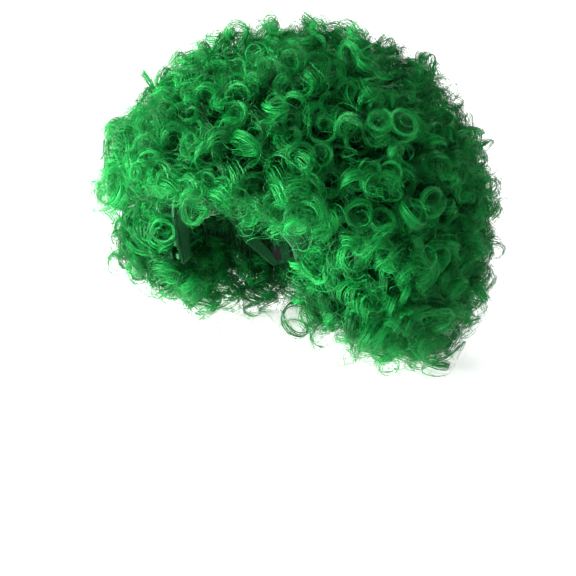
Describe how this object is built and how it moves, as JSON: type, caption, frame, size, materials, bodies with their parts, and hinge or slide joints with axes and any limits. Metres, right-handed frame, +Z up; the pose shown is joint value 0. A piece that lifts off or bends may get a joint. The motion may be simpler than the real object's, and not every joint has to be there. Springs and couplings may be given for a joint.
{
  "type": "costume wig",
  "caption": "Bright green curly costume wig: rows of ringlets sewn to a stretch-net cap with nape adjusters.",
  "frame": {"origin": "centre of the wearer's cranium, where the head fills the cap", "axes": "+Z up, the face looks along -Y, the wearer's left is +X"},
  "size_m": [0.316, 0.3314, 0.2701],
  "materials": {
    "net": "knitted stretch net",
    "tape": "woven cotton tape",
    "elastic": "ribbed elastic",
    "weft": "stitched weft",
    "hair": "curled synthetic fibre, satin",
    "stay": "moulded strip",
    "strap": "ribbed webbing",
    "hook_tape": "nylon hooks",
    "loop_tape": "brushed nylon loops",
    "label": "satin ribbon, blank"
  },
  "bodies": {
    "root": {"cap_net": "net", "crown_curls": "hair", "crown_patch": "tape", "curls_row_01_front": "hair", "curls_row_01_left": "hair", "curls_row_01_nape": "hair", "curls_row_01_right": "hair", "curls_row_02": "hair", "curls_row_03": "hair", "curls_row_04": "hair", "curls_row_05": "hair", "curls_row_06": "hair", "curls_row_07": "hair", "curls_row_08": "hair", "curls_row_09": "hair", "curls_row_10": "hair", "curls_row_11": "hair", "curls_row_12": "hair", "ear_tab_curls_left": "hair", "ear_tab_curls_right": "hair", "ear_tab_left": "tape", "ear_tab_right": "tape", "ear_tab_stay_left": "stay", "ear_tab_stay_right": "stay", "ear_tab_wefts_left": "weft", "ear_tab_wefts_right": "weft", "front_hairline_tape": "tape", "label": "label", "loop_tape_left": "loop_tape", "loop_tape_right": "loop_tape", "nape_band": "elastic", "side_binding_left": "elastic", "side_binding_right": "elastic", "strap_sleeve_left": "elastic", "strap_sleeve_right": "elastic", "weft_track_01": "weft", "weft_track_02": "weft", "weft_track_03": "weft", "weft_track_04": "weft", "weft_track_05": "weft", "weft_track_06": "weft", "weft_track_07": "weft", "weft_track_08": "weft", "weft_track_09": "weft", "weft_track_10": "weft", "weft_track_11": "weft", "weft_track_12": "weft"},
    "slider_left": {"adjuster_strap_left": "strap"},
    "tab_left": {"hook_tab_left": "strap", "hook_tape_left": "hook_tape"},
    "slider_right": {"adjuster_strap_right": "strap"},
    "tab_right": {"hook_tab_right": "strap", "hook_tape_right": "hook_tape"}
  },
  "joints": [
    {"name": "adjuster_slide_left", "type": "hinge", "parent": "root", "child": "slider_left", "pos_m": [0, 0.0267, -0.052], "axis": [0, 0, 1], "range_deg": [0, 14]},
    {"name": "hook_tab_peel_left", "type": "hinge", "parent": "slider_left", "child": "tab_left", "pos_m": [0.03198, 0.07071, -0.052], "axis": [0.2895, 0.3985, 0.8703], "range_deg": [0, 60]},
    {"name": "adjuster_slide_right", "type": "hinge", "parent": "root", "child": "slider_right", "pos_m": [0, 0.0267, -0.052], "axis": [0, 0, -1], "range_deg": [0, 14]},
    {"name": "hook_tab_peel_right", "type": "hinge", "parent": "slider_right", "child": "tab_right", "pos_m": [-0.03198, 0.07071, -0.052], "axis": [0.2895, -0.3985, -0.8703], "range_deg": [0, 60]}
  ]
}
